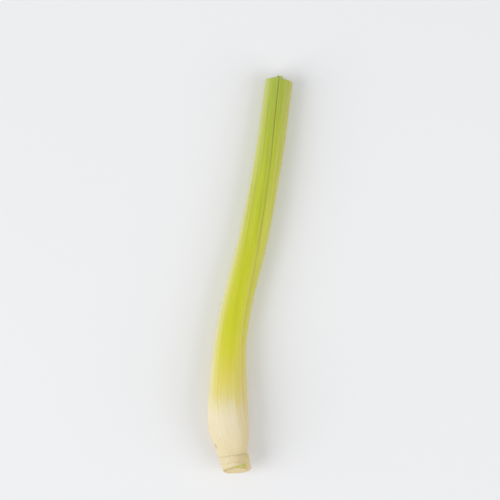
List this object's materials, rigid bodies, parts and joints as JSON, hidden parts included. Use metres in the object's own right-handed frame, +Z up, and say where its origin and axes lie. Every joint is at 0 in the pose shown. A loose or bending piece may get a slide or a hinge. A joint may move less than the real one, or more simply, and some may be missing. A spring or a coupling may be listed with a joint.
{
  "type": "lemongrass stalk",
  "caption": "Trimmed lemongrass stalk lying on its side: a short cut stem base, a pale bulb, and nested leaf sheaths rolled round one another up to a level cut top.",
  "frame": {"origin": "on the surface that the stalk lies on, under the middle of the box round it", "axes": "+Y along the stalk from the root cut to the cut top, +Z up from the surface, +X to the side that the top bends towards"},
  "size_m": [0.0343, 0.1608, 0.0154],
  "materials": {
    "stem_tissue": "matte",
    "outer_leaf": "satin",
    "second_leaf": "satin",
    "third_leaf": "satin",
    "fourth_leaf": "satin",
    "heart_leaf": "satin"
  },
  "bodies": {
    "root": {"stem_base": "stem_tissue", "outer_sheath": "outer_leaf", "second_sheath": "second_leaf", "third_sheath": "third_leaf", "fourth_sheath": "fourth_leaf", "heart_leaf": "heart_leaf"}
  },
  "joints": []
}
